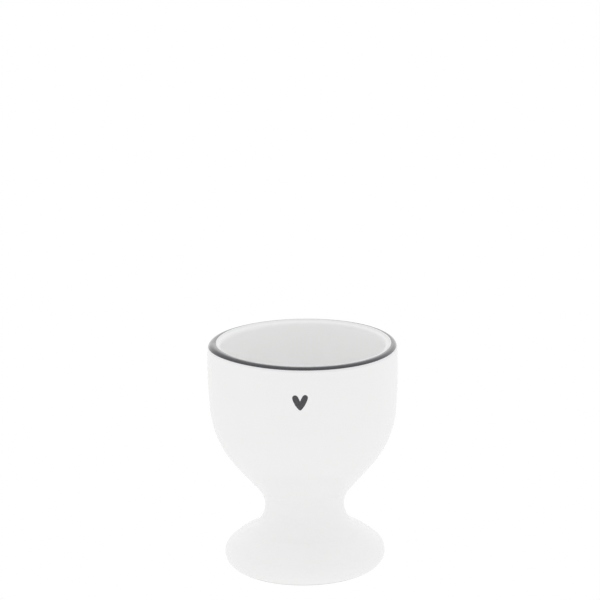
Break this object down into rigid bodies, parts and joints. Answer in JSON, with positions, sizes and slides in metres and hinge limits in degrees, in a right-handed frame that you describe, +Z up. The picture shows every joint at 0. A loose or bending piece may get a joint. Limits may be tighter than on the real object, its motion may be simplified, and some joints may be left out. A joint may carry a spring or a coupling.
{
  "type": "egg cup",
  "caption": "Footed ceramic egg cup: a round bowl on a narrow neck and a hollow flared foot, with a dark painted rim and a small painted heart. It holds a boiled egg upright.",
  "frame": {"origin": "middle of the standing ring, on the table", "axes": "+Z up along the cup's axis, -Y out of the front, where the heart is painted"},
  "size_m": [0.0508, 0.0508, 0.0618],
  "materials": {
    "fired_clay": "matt, bare",
    "fired_slip": "matt, bare",
    "white_glaze": "glossy white glaze",
    "dark_paint": "glossy charcoal paint fired into the glaze"
  },
  "bodies": {
    "root": {"bowl": "fired_clay", "foot": "fired_clay", "slip_joint": "fired_slip", "inner_glaze": "white_glaze", "outer_glaze": "white_glaze", "underfoot_glaze": "white_glaze", "rim_band": "dark_paint", "heart": "dark_paint"}
  },
  "joints": []
}
